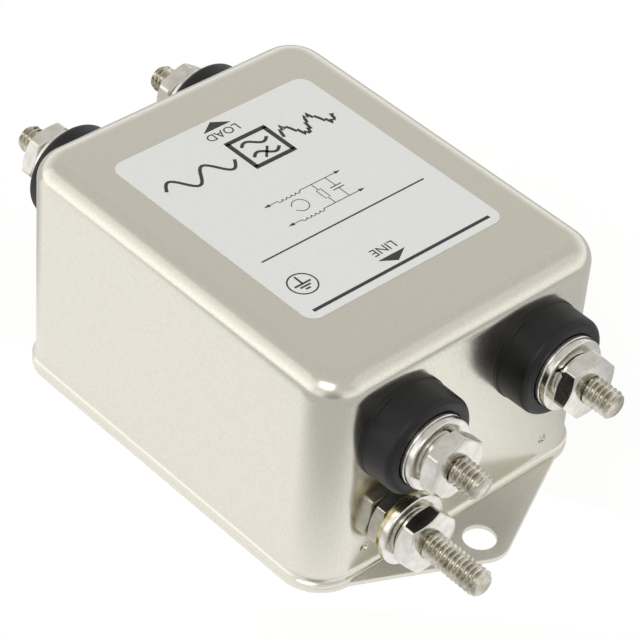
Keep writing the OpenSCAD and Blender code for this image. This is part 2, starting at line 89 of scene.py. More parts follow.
# Angle from +Y to one of a nut's corners, as each nut was turned when it was tightened
NUT_TURNS = {("line", "1"): 20, ("line", "2"): 12, ("load", "1"): 50, ("load", "2"): 35}
PRINT = 0.02 * MM  # thickness of the printed ink
CORE_HOLE = 8.5 * MM  # radius of the hole in the choke's core
WIRE_GAP = 0.1 * MM  # between the core and the wire


# ---------- Shared helpers ----------


def linear(code):
    """An sRGB hex colour as linear RGBA."""
    parts = [int(code[i : i + 2], 16) / 255 for i in (0, 2, 4)]
    return [p / 12.92 if p <= 0.04045 else ((p + 0.055) / 1.055) ** 2.4 for p in parts] + [1]


def add(tree, kind, inputs=(), **settings):
    """Adds a node. inputs maps a socket's name or number to a value or to another socket."""
    node = tree.nodes.new(kind)
    for key, value in settings.items():
        setattr(node, key, value)
    for key, value in dict(inputs).items():
        if isinstance(value, bpy.types.NodeSocket):
            tree.links.new(value, node.inputs[key])
        else:
            node.inputs[key].default_value = value
    return node


def settle(obj, finish, replaced, smooth=35):
    """Gives a piece its finish and smooth shading, hangs it on the root body and hides the CAD pieces
    that it replaces.
    """
    mesh = obj.data
    mesh.materials.clear()
    mesh.materials.append(finish)
    mesh.shade_smooth()
    mesh.set_sharp_from_angle(angle=radians(smooth))
    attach(obj, "root")
    if replaced:
        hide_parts(*replaced)
    return obj


def as_object(name, shell):
    """A bmesh as an object, merged and with its faces outward."""
    bmesh.ops.remove_doubles(shell, verts=shell.verts, dist=1e-7)
    bmesh.ops.dissolve_degenerate(shell, dist=1e-8, edges=shell.edges)
    bmesh.ops.recalc_face_normals(shell, faces=shell.faces)
    mesh = bpy.data.meshes.new(name)
    shell.to_mesh(mesh)
    shell.free()
    obj = bpy.data.objects.new(name, mesh)
    bpy.context.collection.objects.link(obj)
    return obj


def baked(obj):
    """Turns an object's modifiers into plain mesh."""
    view = bpy.context.evaluated_depsgraph_get()
    mesh = bpy.data.meshes.new_from_object(obj.evaluated_get(view))
    obj.modifiers.clear()
    obj.data = mesh
    return obj


def on_wall(end, y, z, out=0):
    """Puts local +X outward from an end wall at height z."""
    turn = Matrix.Rotation(0 if end > 0 else pi, 4, "Z")
    return Matrix.Translation((end * (WALL + out), y, z)) @ turn


def turned(profile, steps, loop=False, lead=None):
    """Turns a section about local X. profile(angle) gives its (x, radius) points. loop closes
    the section on itself. lead = (first, last, rise) names the rows of a thread, which climbs
    rise rows in one turn."""
    shell = bmesh.new()
    columns = []
    for step in range(steps):
        angle = 2 * pi * step / steps
        column = [(x, r * cos(angle), r * sin(angle)) for x, r in profile(angle)]
        columns.append([shell.verts.new(point) for point in column])
    count = len(columns[0])
    for step in range(steps):
        here, there = columns[step], columns[(step + 1) % steps]
        for row in range(count if loop else count - 1):
            shift = 0
            if lead and step == steps - 1 and lead[0] <= row < lead[1]:
                shift = lead[2]
                if row + shift >= lead[1]:
                    continue
            after = (row + 1) % count
            corners = [here[row], here[after], there[(after + shift) % count], there[row + shift]]
            if len({tuple(round(c, 9) for c in v.co) for v in corners}) > 2:
                shell.faces.new(corners)
    return shell


def bridge(shell, rings, closed=False):
    """Joins rings of vertices with faces. The end rings are capped, or joined when closed."""
    following = rings[1:] + rings[:1] if closed else rings[1:]
    for here, there in zip(rings, following):
        for i, corner in enumerate(here):
            j = (i + 1) % len(here)
            shell.faces.new((corner, here[j], there[j], there[i]))
    if not closed:
        shell.faces.new(rings[0])
        shell.faces.new(rings[-1])


def arc(centre, radius, start, stop, steps):
    """Points (x, radius) along an arc, angles in degrees."""
    for i in range(steps + 1):
        a = radians(start + (stop - start) * i / steps)
        yield centre[0] + radius * cos(a), centre[1] + radius * sin(a)


def rounded_corners(half_x, half_y, radius, steps):
    """The four corner arcs of a rounded rectangle, each with its number of quarter turns.
    The two halves reach from the middle to the arcs' centres."""
    for quarter, (side_x, side_y) in enumerate([(1, 1), (-1, 1), (-1, -1), (1, -1)]):
        start = quarter * 90
        centre = (side_x * half_x, side_y * half_y)
        yield quarter, list(arc(centre, radius, start, start + 90, steps))


def hex_radius(across_flats, angle):
    """Distance from a hexagon's centre to its side, with a corner at angle 0, corners eased."""
    side = across_flats / 2 / cos((angle % (pi / 3)) - pi / 6)
    return min(side, across_flats / 2 / cos(pi / 6) * HEX_CORNER)


# ---------- Geometry trees ----------


def geometry_tree(name, sockets):
    """An empty Geometry Nodes tree with named inputs. Returns the tree and its input node."""
    tree = bpy.data.node_groups.new(name, "GeometryNodeTree")
    tree.interface.new_socket("Geometry", in_out="INPUT", socket_type="NodeSocketGeometry")
    for title, kind in sockets:
        tree.interface.new_socket(title, in_out="INPUT", socket_type=kind)
    tree.interface.new_socket("Geometry", in_out="OUTPUT", socket_type="NodeSocketGeometry")
    return tree, add(tree, "NodeGroupInput")


def grown(obj, tree, values):
    """Runs a geometry tree on an object and keeps the plain mesh."""
    modifier = obj.modifiers.new("grow", "NODES")
    modifier.node_group = tree
    for item in tree.interface.items_tree:
        if item.in_out == "INPUT" and item.name in values:
            modifier[item.identifier] = values[item.name]
    return baked(obj)


def finish_tree(tree, given, points, turn):
    """Ends a tree: the piece on each point, turned, as real geometry with its finish."""
    piece = add(tree, "GeometryNodeObjectInfo", {"Object": given.outputs["Piece"]})
    euler = add(tree, "ShaderNodeCombineXYZ", turn)
    way = add(tree, "FunctionNodeEulerToRotation", {0: euler.outputs[0]})
    spread = {"Points": points, "Instance": piece.outputs["Geometry"], "Rotation": way.outputs[0]}
    placed = add(tree, "GeometryNodeInstanceOnPoints", spread)
    real = add(tree, "GeometryNodeRealizeInstances", {"Geometry": placed.outputs[0]})
    finish = {"Geometry": real.outputs[0], "Material": given.outputs["Finish"]}
    dressed = add(tree, "GeometryNodeSetMaterial", finish)
    add(tree, "NodeGroupOutput", {"Geometry": dressed.outputs[0]})
    return tree


def set_on_points_tree():
    """Sets a piece on each point of the host, turned about its own X by the point's "turn"
    and about Z by its "heading"."""
    sockets = [("Piece", "NodeSocketObject"), ("Finish", "NodeSocketMaterial")]
    tree, given = geometry_tree("set on points", sockets)
    kind = "GeometryNodeInputNamedAttribute"
    turn = add(tree, kind, {"Name": "turn"}, data_type="FLOAT").outputs[0]
    heading = add(tree, kind, {"Name": "heading"}, data_type="FLOAT").outputs[0]
    return finish_tree(tree, given, given.outputs["Geometry"], {"X": turn, "Z": heading})


def round_a_ring_tree():
    """Repeats a piece about the Z axis through a centre, Step apart from First on."""
    sockets = [
        ("Piece", "NodeSocketObject"),
        ("Count", "NodeSocketInt"),
        ("First", "NodeSocketFloat"),
        ("Step", "NodeSocketFloat"),
        ("Centre", "NodeSocketVector"),
        ("Finish", "NodeSocketMaterial"),
    ]
    tree, given = geometry_tree("round a ring", sockets)
    count, centre = given.outputs["Count"], given.outputs["Centre"]
    points = {"Count": count, "Start Location": centre, "Offset": (0, 0, 0)}
    line = add(tree, "GeometryNodeMeshLine", points)
    index = add(tree, "GeometryNodeInputIndex").outputs[0]
    angle = {0: index, 1: given.outputs["Step"], 2: given.outputs["First"]}
    angle = add(tree, "ShaderNodeMath", angle, operation="MULTIPLY_ADD")
    return finish_tree(tree, given, line.outputs[0], {"Z": angle.outputs[0]})


# ---------- Materials ----------


def blank(name):
    """A new material with its shader: returns the material, its tree, the shader and the
    object coordinates."""
    made = bpy.data.materials.new(name)
    made.use_nodes = True
    tree = made.node_tree
    shader = tree.nodes["Principled BSDF"]
    return made, tree, shader, add(tree, "ShaderNodeTexCoord").outputs["Object"]


def mottle(tree, place, size, detail=3.0, rough=0.55, stretch=None):
    """Even noise whose grains measure about size. stretch makes them longer along an axis."""
    if stretch:
        place = add(tree, "ShaderNodeMapping", {"Vector": place, "Scale": stretch}).outputs[0]
    grains = {"Vector": place, "Scale": 1 / size, "Detail": detail, "Roughness": rough}
    return add(tree, "ShaderNodeTexNoise", grains).outputs[0]


def between(tree, shader, socket, factor, low, high):
    """Drives a shader's number from low to high over the middle of a noise factor's range."""
    span = {"Value": factor, "From Min": 0.3, "From Max": 0.7, "To Min": low, "To Max": high}
    spread = add(tree, "ShaderNodeMapRange", span)
    tree.links.new(spread.outputs[0], shader.inputs[socket])


def blend(tree, factor, first, second, start=0.3, stop=0.7):
    """Mixes two colours, given as hex codes or sockets, as the factor goes from start to stop."""
    span = {"Value": factor, "From Min": start, "From Max": stop}
    scaled = add(tree, "ShaderNodeMapRange", span).outputs[0]
    ends = [linear(c) if isinstance(c, str) else c for c in (first, second)]
    inputs = {0: scaled, 6: ends[0], 7: ends[1]}
    return add(tree, "ShaderNodeMix", inputs, data_type="RGBA").outputs[2]


def relief(tree, shader, height, depth, strength, under=None):
    """Raises a shader's surface by a height map, depth high, on top of another relief."""
    inputs = {"Height": height, "Distance": depth, "Strength": strength}
    if under:
        inputs["Normal"] = under
    bump = add(tree, "ShaderNodeBump", inputs)
    tree.links.new(bump.outputs[0], shader.inputs["Normal"])
    return bump.outputs[0]


def tinned_sheet(name, light, dark, gloss, metallic=1.0):
    """Tin-plated steel sheet. The matte tin gives a soft sheen with a fine mottle, and
    drawing leaves the panels very slightly uneven."""
    made, tree, shader, place = blank(name)
    shader.inputs["Metallic"].default_value = metallic
    grain = mottle(tree, place, 0.35 * MM, detail=4.0, rough=0.7)
    tree.links.new(blend(tree, grain, light, dark, 0.25, 0.75), shader.inputs["Base Color"])
    between(tree, shader, "Roughness", grain, gloss - 0.04, gloss + 0.07)
    panel = relief(tree, shader, mottle(tree, place, 14 * MM, detail=1.0), 0.10 * MM, 0.5)
    relief(tree, shader, grain, 0.005 * MM, 0.55, under=panel)
    return made


def plated_hardware(name, light, dark, gloss, spots=None):
    """Bright plate over turned steel. It mirrors the room with a slight haze, and dull spots
    sit where tools and fingers touched it."""
    made, tree, shader, place = blank(name)
    shader.inputs["Metallic"].default_value = 1.0
    stain = mottle(tree, place, 1.6 * MM, detail=4.0)
    colour = blend(tree, stain, light, dark, 0.35, 0.7)
    if spots:
        blotch = mottle(tree, place, 2.6 * MM, detail=2.0)
        colour = blend(tree, blotch, colour, spots, 0.45, 0.62)
    tree.links.new(colour, shader.inputs["Base Color"])
    haze = mottle(tree, place, 0.25 * MM, detail=3.0)
    between(tree, shader, "Roughness", haze, gloss, gloss + 0.12)
    relief(tree, shader, mottle(tree, place, 0.5 * MM), 0.012 * MM, 0.5)
    return made


def moulded_phenolic():
    """Black phenolic, moulded under heat. A satin skin, faint flow cloud and a dusting of
    paler filler keep it from a flat black."""
    made, tree, shader, place = blank("moulded_black_phenolic")
    cloud = mottle(tree, place, 3 * MM, detail=4.0)
    dust = mottle(tree, place, 0.22 * MM, detail=2.0, rough=0.8)
    base = blend(tree, cloud, "141415", "1d1d1e")
    tree.links.new(blend(tree, dust, base, "45433f", 0.66, 0.8), shader.inputs["Base Color"])
    shader.inputs["IOR"].default_value = 1.5
    shader.inputs["Specular IOR Level"].default_value = 0.33
    between(tree, shader, "Roughness", cloud, 0.36, 0.5)
    relief(tree, shader, dust, 0.01 * MM, 0.6)
    return made


def coated(name, light, dark, size, low, high, depth, stretch=None, coat=0.0):
    """A coated, moulded or woven piece: grains of one size between two colours, roughness
    from low to high, relief as deep as depth, and a clear coat where one was brushed on."""
    made, tree, shader, place = blank(name)
    grain = mottle(tree, place, size, detail=4.0, stretch=stretch)
    tree.links.new(blend(tree, grain, light, dark), shader.inputs["Base Color"])
    shader.inputs["Coat Weight"].default_value = coat
    between(tree, shader, "Roughness", grain, low, high)
    relief(tree, shader, grain, depth, 0.5)
    return made


def studio_white():
    """A pale paper floor that keeps soft shadows. Most of what the camera sees of it is a white glow.
    What glossy pieces see of it is a painted glow: painted shade dims it behind the part and far toward
    the viewer, and painted light makes it a little brighter than white round the part's front."""
    seen_level = 1.06  # brightness of the paper to the camera
    shadowless = 0.82  # share of its light that a shadow does not darken
    made, tree, shader, place = blank("paper_glow_with_painted_shade")
    shader.inputs["Base Color"].default_value = linear("f4f4f2")
    shader.inputs["Roughness"].default_value = 0.9
    # Painted shade and light: these falloffs set the paper's glow, dimmer behind the part and toward the
    # viewer and brighter than white near its front, so that reflections in the metal darken as if shaded
    painted_falloffs = []
    for way, start, stop, near, far in [
        ((-0.55, 1, 0), -8 * MM, 12 * MM, 0.94, 0.5),
        ((1, -1, 0), 55 * MM, 90 * MM, 1.2, 0.6),
    ]:
        along = add(tree, "ShaderNodeVectorMath", {0: place, 1: way}, operation="DOT_PRODUCT")
        span = {"Value": along.outputs["Value"], "From Min": start, "From Max": stop}
        span.update({"To Min": near, "To Max": far})
        painted_falloffs.append(add(tree, "ShaderNodeMapRange", span).outputs[0])
    level = add(tree, "ShaderNodeMath", {0: painted_falloffs[0], 1: painted_falloffs[1]}, operation="MULTIPLY").outputs[0]
    path = add(tree, "ShaderNodeLightPath").outputs
    white = {0: path["Is Camera Ray"], 1: seen_level}
    white = add(tree, "ShaderNodeMath", white, operation="MULTIPLY").outputs[0]
    level = add(tree, "ShaderNodeMath", {0: level, 1: white}, operation="MAXIMUM").outputs[0]
    seen = path["Is Camera Ray"]
    for ray in ("Is Glossy Ray", "Is Transmission Ray"):
        seen = add(tree, "ShaderNodeMath", {0: seen, 1: path[ray]}, operation="MAXIMUM").outputs[0]
    part = add(tree, "ShaderNodeMath", {0: seen, 1: shadowless}, operation="MULTIPLY").outputs[0]
    paper = add(tree, "ShaderNodeEmission", {"Strength": level}).outputs[0]
    both = add(tree, "ShaderNodeMixShader", {0: part, 1: shader.outputs[0], 2: paper})
    tree.links.new(both.outputs[0], tree.nodes["Material Output"].inputs["Surface"])
    return made


# Matte tin on a drawn panel: a soft sheen that still shows dark pieces beside it
TIN = tinned_sheet("tin_plated_drawn_sheet", "e4e1d6", "d9d6c9", 0.2)
# The same tin on flat stock: paler and duller, with no clear reflection
PLATE = tinned_sheet("tin_plated_flat_sheet", "eceae2", "e0ddd3", 0.5, metallic=0.75)
# Bright nickel: crisp flats, each either light or dark
NICKEL = plated_hardware("bright_nickel_plated_steel", "ebe9e3", "d6d3ca", 0.12)
# Nickel on a rolled thread: bright crests and brownish roots
THREAD = plated_hardware("rolled_nickel_plated_thread", "d8d4c8", "a29c8c", 0.1)
# Yellow chromate: a straw tint with olive blotches at the rim
CHROMATE = plated_hardware("yellow_chromate_steel", "d9d6c2", "b3a45f", 0.22, spots="8f7a35")
PHENOLIC = moulded_phenolic()
# Metallised film: satin, nearly white, with barely a grain
FILM = coated("metallised_label_film", "eceeed", "e5e8e6", 0.3 * MM, 0.38, 0.5, 0.004 * MM)
# Printing ink: soft black, duller than the film under it
INK = coated("black_printing_ink", "2b2b2c", "37363a", 0.2 * MM, 0.5, 0.65, 0.002 * MM)
# Tinned brass, stamped: warm and softly bright
LUG = plated_hardware("tinned_brass_stamping", "d8cfae", "b59f68", 0.2)
# Ferrite in dipped epoxy: dark green with a slightly pebbled shine
FERRITE = coated("epoxy_coated_ferrite", "2f5a43", "264b38", 0.5 * MM, 0.35, 0.5, 0.03 * MM)
# Enamelled wire: coppery under a wet, clear gloss
COPPER = coated(
    "enamelled_copper_wire", "b5642c", "93481c", 0.6 * MM, 0.2, 0.32, 0.01 * MM, coat=0.4
)
# Pressed fibre: matte tan with its fibres along one way
BOARD = coated(
    "pressed_fibre_board", "d6ceb2", "bfb594", 0.4 * MM, 0.7, 0.85, 0.03 * MM, stretch=(1, 0.25, 1)
)
# Moulded polyester: smooth amber yellow
FILM_CASE = coated("moulded_polyester_case", "d9a92c", "c6961f", 0.8 * MM, 0.3, 0.42, 0.01 * MM)
# Dipped epoxy: a thick, glossy blue skin with soft lumps
DIP_COAT = coated("dipped_epoxy_coat", "2c5f9e", "234f86", 1.2 * MM, 0.25, 0.4, 0.05 * MM)
# Baked lacquer: an even tan with a slight shine
LACQUER = coated("baked_resistor_lacquer", "cba77c", "bb966a", 0.6 * MM, 0.3, 0.45, 0.01 * MM)
# Extruded insulation: smooth and satin
BLACK_WIRE = coated("extruded_black_insulation", "202022", "2a2a2c", 0.5 * MM, 0.4, 0.55, 0.01 * MM)
GREEN_WIRE = coated("extruded_green_insulation", "1f6b33", "185628", 0.5 * MM, 0.4, 0.55, 0.01 * MM)


# ---------- Can and base plate ----------


def footprint(offset):
    """The can's outline, offset outward from its walls. Points beside each tangent keep the
    flat walls flat in the light."""
    centre_x, centre_y = WALL - CORNER, HALF_WIDTH - CORNER
    for quarter, corner in rounded_corners(centre_x, centre_y, CORNER + offset, 16):
        yield from corner
        side = 2 * (centre_x if quarter % 2 == 0 else centre_y)
        a = radians(quarter * 90 + 90)
        foot_x, foot_y = corner[-1]
        for part in (0.004, 0.25, 0.5, 0.75, 0.996):
            yield foot_x - part * side * sin(a), foot_y + part * side * cos(a)


def can_profile():
    """(offset, height) rows of the can's section, from inside the roof down, round the
    flared lip and up to the top of the roof."""
    height = CAN_HIGH.z - CAN_LOW.z
    ease = 0.13 * MM
    flare_share = 0.93  # the flare stops short of the lip's eased edge
    inner = TOP_EDGE - SHEET
    turn = (-TOP_EDGE, height - TOP_EDGE)
    yield -TOP_EDGE - ease, height - SHEET
    yield from arc(turn, inner, 90, 0, 8)
    yield -SHEET, ease
    yield -SHEET + ease, 0
    yield LIP_REACH - ease, 0
    yield from arc((LIP_REACH - ease, ease), ease, -90, 0, 3)
    yield from arc((LIP_REACH - ease, LIP_EDGE - ease), ease, 0, 60, 3)
    sweep = acos(1 - LIP_REACH / LIP_HOLLOW)
    hollow = (LIP_HOLLOW, LIP_EDGE + LIP_HOLLOW * sin(sweep))
    yield from arc(hollow, LIP_HOLLOW, 180 + flare_share * degrees(sweep), 180, 10)
    yield 0, hollow[1] + ease
    yield 0, height - TOP_EDGE - ease
    yield from arc(turn, TOP_EDGE, 0, 90, 16)
    yield -TOP_EDGE - ease, height


def can_shell():
    """The drawn can as one closed sheet, with its roof, rounded edges and flared lip."""
    shell = bmesh.new()
    rings = []
    for offset, height in can_profile():
        ring = [(x, y, CAN_LOW.z + height) for x, y in footprint(offset)]
        rings.append([shell.verts.new(point) for point in ring])
    bridge(shell, rings)
    return shell


def wall_cutters():
    """Round cutters for the wall's holes and the staked dimples, all in one shell."""
    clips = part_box("base_clips")[1]
    dimple_y = clips.y - CLIP_WIDTH / 2
    dimple_z = clips.z - CLIP_RISE
    shell = bmesh.new()

    def bore(end, y, z, rows):
        """Adds one cutter, turned from (x, radius) rows about a hole's own axis."""
        part = turned(lambda angle: rows, 40)
        mesh = bpy.data.meshes.new("cutter")
        part.to_mesh(mesh)
        part.free()
        mesh.transform(on_wall(end, y, z))
        shell.from_mesh(mesh)

    def plain(radius):
        """Rows of a straight cutter that passes through the sheet."""
        return [(-3 * SHEET, 0), (-3 * SHEET, radius), (SHEET, radius), (SHEET, 0)]

    for end in ENDS.values():
        for side in ROWS.values():
            bore(end, side * TERMINAL_Y, TERMINAL_Z, plain(TERMINAL_HOLE))
            bore(end, side * dimple_y, dimple_z, [(x * MM, r * MM) for x, r in DIMPLE_ROWS])
    bore(1, GROUND_Y, GROUND_Z, plain(BORE))
    return shell


def make_can():
    """The drawn can with its holes and dimples cut."""
    can = as_object("drawn_can", can_shell())
    cutter = as_object("wall_cutter", wall_cutters())
    cutting = can.modifiers.new("holes", "BOOLEAN")
    cutting.object = cutter
    cutting.operation = "DIFFERENCE"
    cutting.solver = "EXACT"
    baked(can)
    bpy.data.objects.remove(cutter)
    settle(can, TIN, ["can"], smooth=30)


def make_base_plate():
    """The eared plate: the CAD piece's own shape, merged, with its edges eased."""
    shell = bmesh.new()
    shell.from_mesh(nodes["base_plate"].data)
    bmesh.ops.remove_doubles(shell, verts=shell.verts, dist=1e-6)
    flat = {"angle_limit": radians(1), "use_dissolve_boundaries": False}
    bmesh.ops.dissolve_limit(shell, verts=shell.verts, edges=shell.edges, **flat)
    plate = as_object("flat_base_plate", shell)
    bevel = plate.modifiers.new("ease", "BEVEL")
    bevel.width = 0.12 * MM
    bevel.segments = 3
    bevel.limit_method = "ANGLE"
    bevel.angle_limit = radians(40)
    baked(plate)
    settle(plate, PLATE, ["base_plate"])


# ---------- Terminals and hardware ----------


def insulator_profile(low_x, high_x, foot_radius):
    """Section of the moulded insulator, from its neck inside the can to its washer recess."""
    neck = 4.9 * MM
    body = foot_radius - 0.25 * MM
    top = body - 0.05 * MM  # the body's draft
    seat = 5.7 * MM
    recess = 0.4 * MM
    edge = 1.0 * MM
    flash = 0.12 * MM
    mouth = 0.1 * MM  # the recess's eased edge

    def rows(angle):
        # the parting flash stands proud of the foot in two places
        proud = flash * max(0, cos(angle - 2.2)) ** 24 + flash * max(0, cos(angle + 1.1)) ** 40
        foot = foot_radius - flash + proud
        yield low_x, BORE
        yield low_x, neck
        yield 0, neck
        yield 0, foot
        yield 0.3 * MM, foot
        yield from arc((0.38 * MM, foot - flash), flash, 90, 0, 3)
        yield 0.55 * MM, body
        yield 0.8 * MM, body
        yield high_x - edge - 0.1 * MM, top
        yield from arc((high_x - edge, top - edge), edge, 90, 8, 8)
        yield high_x, body - edge - 0.35 * MM
        yield high_x, seat + 0.12 * MM
        yield from arc((high_x - mouth, seat + mouth), mouth, 0, -90, 3)
        yield high_x - recess, seat
        yield high_x - recess, BORE

    return lambda angle: list(rows(angle))


def washer_shell(thickness, radius):
    """A stamped washer: one edge rolled over by the die, the other nearly sharp."""
    roll = 0.22 * MM
    sharp = 0.06 * MM
    rows = [(0, BORE + sharp), (0, radius - sharp), (sharp, radius)]
    rows += arc((thickness - roll, radius - roll), roll, 90, 0, 5)
    rows += arc((thickness - roll, BORE + roll), roll, 0, -90, 4)
    rows += [(sharp, BORE)]
    return turned(lambda angle: rows, 96, loop=True)


def nut_shell(thickness):
    """A hexagon nut: chamfered faces and a countersunk thread."""
    face = NUT_FLATS * FACE_SHARE
    bore = 1.86 * MM
    sink = 0.32 * MM

    def rows(angle):
        side = hex_radius(NUT_FLATS, angle)
        drop = (side - face) * CHAMFER
        return [
            (sink, bore),
            (0, bore + sink),
            (0, face),
            (drop, side),
            (thickness - drop, side),
            (thickness, face),
            (thickness, bore + sink),
            (thickness - sink, bore),
        ]

    return turned(rows, 144, loop=True)


def lock_washer_shell(thickness, radius):
    """A coil of square wire, one turn, cut askew, its two ends a little out of line."""
    split = 0.5 * MM
    askew = 1.6  # how far the cut leans, as a share of its width
    ease = 0.08 * MM
    spring = 0.05 * MM
    inner = BORE + 0.05 * MM
    high = thickness - 2 * spring
    section = [(ease, inner), (0, inner + ease), (0, radius - ease), (ease, radius)]
    section += [(high - ease, radius), (high, radius - ease), (high, inner + ease), (high - ease, inner)]
    steps = 72
    gap = split / (inner + radius)
    shell = bmesh.new()
    rings = []
    for step in range(steps + 1):
        part = step / steps
        ring = []
        for x, r in section:
            skew = (x / high - 0.5) * gap * askew
            angle = gap + skew + part * (2 * pi - 2 * gap)
            lift = 2 * spring * part
            ring.append(shell.verts.new((x + lift, r * cos(angle), r * sin(angle))))
        rings.append(ring)
    bridge(shell, rings)
    return shell


def stud_shell(low_x, free_from, reach):
    """A headed screw whose free end carries the rolled right-hand thread. The thread's rows
    run past both of its ends, where they gather on the shank and on the tip."""
    per_turn = 10
    spare = 2  # turns past each end
    depth = 0.6 * PITCH
    minor = MAJOR - depth
    tip = minor - 0.05 * MM
    rows = int((reach - free_from) / PITCH * per_turn) + 2 * spare * per_turn
    head = 2.3 * MM
    face = HEAD_FLATS * FACE_SHARE

    def thread(phase):
        """Radius across one pitch: a flat crest and a flat root between straight flanks."""
        rise = 1 - abs(2 * phase - 1)
        return minor + depth * min(1, max(0, 1.2 * rise - 0.1))

    def profile(angle):
        side = hex_radius(HEAD_FLATS, angle)
        drop = (side - face) * CHAMFER
        points = [(low_x, 0), (low_x, face), (low_x + drop, side), (low_x + head - drop, side)]
        points += [(low_x + head, face), (low_x + head, SHANK), (free_from, SHANK)]
        for row in range(rows):
            x = free_from + (row / per_turn - spare + angle / (2 * pi)) * PITCH
            run_in = SHANK + (x - free_from) * 0.8
            chamfer = tip + (reach - x) * 1.2
            if x <= free_from:
                points.append((free_from, SHANK))
            elif x >= reach:
                points.append((reach, tip))
            else:
                points.append((x, min(thread(row / per_turn % 1), max(run_in, minor), chamfer)))
        return points + [(reach, 0)]

    first = 7  # rows of the head and the shank, before the thread's
    return turned(profile, 72, lead=(first, first + rows - 1, per_turn))


def on_terminals(name, node, shell, out, tree, turns=None):
    """Sets one nickel-plated piece on all four terminals, out from the wall. turns gives
    each one's angle in degrees, and without it each is turned on from the last."""
    template = as_object(name + "_one", shell)
    template.data.shade_smooth()
    template.data.set_sharp_from_angle(angle=radians(35))
    places, turn, heading = [], [], []
    for end_name, end in ENDS.items():
        for row_name, row in ROWS.items():
            places.append((end * (WALL + out), row * TERMINAL_Y, TERMINAL_Z))
            turn.append(radians(turns[end_name, row_name] if turns else 70 * len(places)))
            heading.append(0.0 if end > 0 else pi)
    host = bpy.data.meshes.new(name)
    host.from_pydata(places, [], [])
    host.attributes.new("turn", "FLOAT", "POINT").data.foreach_set("value", turn)
    host.attributes.new("heading", "FLOAT", "POINT").data.foreach_set("value", heading)
    obj = bpy.data.objects.new(name, host)
    bpy.context.collection.objects.link(obj)
    grown(obj, tree, {"Piece": template, "Finish": NICKEL})
    bpy.data.objects.remove(template)
    settle(obj, NICKEL, [node])


def on_ground(name, node, shell, out, turn=0, finish=NICKEL, slot="nickel_steel"):
    """Sets one piece on the ground stud, turned in degrees about the stud."""
    piece = as_object(name, shell)
    spin = Matrix.Rotation(radians(turn), 4, "X")
    piece.data.transform(on_wall(1, GROUND_Y, GROUND_Z, out) @ spin)
    settle(piece, finish, [node])


def span_of(node):
    """How far a node's pieces start and end, outward from the LINE end's wall."""
    low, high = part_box(node)
    return low.x - WALL, high.x - WALL


def make_terminals():
    """The four insulated terminals: insulators, studs, and what is tightened on them."""
    low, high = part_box("line_insulator_1")
    insulator = insulator_profile(*span_of("line_insulator_1"), (high.y - low.y) / 2)
    stud_low, stud_end = span_of("line_stud_1")
    nut_end = span_of("terminal_nuts")[1]
    for end_name, end in ENDS.items():
        for row_name, row in ROWS.items():
            place = on_wall(end, row * TERMINAL_Y, TERMINAL_Z)
            node = f"{end_name}_insulator_{row_name}"
            piece = as_object(f"moulded_{node}", turned(insulator, 96, loop=True))
            piece.data.transform(place)
            settle(piece, PHENOLIC, [node])
            node = f"{end_name}_stud_{row_name}"
            piece = as_object(f"threaded_{node}", stud_shell(stud_low, nut_end, stud_end))
            piece.data.transform(place)
            settle(piece, THREAD, [node], smooth=50)

    washer_end = span_of("terminal_washers")[1]
    clamp_end = span_of("terminal_clamp_washers")[1]
    lock_end = span_of("terminal_lock_washers")[1]
    thick = clamp_end - washer_end
    washer = washer_shell(thick, WASHER_RADIUS)
    clamp = washer_shell(thick, WASHER_RADIUS - 0.05 * MM)
    lock = lock_washer_shell(lock_end - clamp_end, LOCK_RADIUS)
    nut = nut_shell(nut_end - lock_end)
    tree = set_on_points_tree()
    on_terminals("stamped_terminal_washers", "terminal_washers", washer, washer_end - thick, tree)
    on_terminals("stamped_clamp_washers", "terminal_clamp_washers", clamp, clamp_end - thick, tree)
    on_terminals("split_lock_washers", "terminal_lock_washers", lock, clamp_end, tree)
    on_terminals("hexagon_terminal_nuts", "terminal_nuts", nut, lock_end, tree, NUT_TURNS)


def make_ground():
    """The ground stud with its jam nut, washers and nut."""
    start, end = span_of("ground_jam_nut")
    on_ground("hexagon_jam_nut", "ground_jam_nut", nut_shell(end - start), start, 15)
    start, end = span_of("ground_contact_washer")
    low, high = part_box("ground_contact_washer")
    contact = washer_shell(end - start, (high.y - low.y) / 2)
    names = ("plated_contact_washer", "ground_contact_washer")
    on_ground(*names, contact, start, finish=CHROMATE, slot="chromate_steel")
    start, end = span_of("ground_washer")
    washer = washer_shell(end - start, WASHER_RADIUS)
    on_ground("stamped_ground_washer", "ground_washer", washer, start)
    start, end = span_of("ground_lock_washer")
    lock = lock_washer_shell(end - start, LOCK_RADIUS)
    on_ground("split_ground_lock_washer", "ground_lock_washer", lock, start, 250)
    start, end = span_of("ground_nut")
    on_ground("hexagon_ground_nut", "ground_nut", nut_shell(end - start), start, 12.75)
    low, reach = span_of("ground_stud")
    on_ground("threaded_ground_stud", "ground_stud", stud_shell(low, end, reach), 0, finish=THREAD)


# ---------- Label ----------


def label_place():
    """From label coordinates to the frame: the label reads along -Y, its letters' tops
    toward the LINE end."""
    low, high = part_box("label")
    turn = Matrix(((0, 1, 0, 0), (-1, 0, 0, 0), (0, 0, 1, 0), (0, 0, 0, 1)))
    return Matrix.Translation(((low.x + high.x) / 2, 0, high.z)) @ turn


def slab(shell, outline, low, high):
    """A flat shape as a closed thin solid."""
    rings = []
    for level in (low, high):
        rings.append([shell.verts.new((x, y, level)) for x, y in outline])
    bridge(shell, rings)


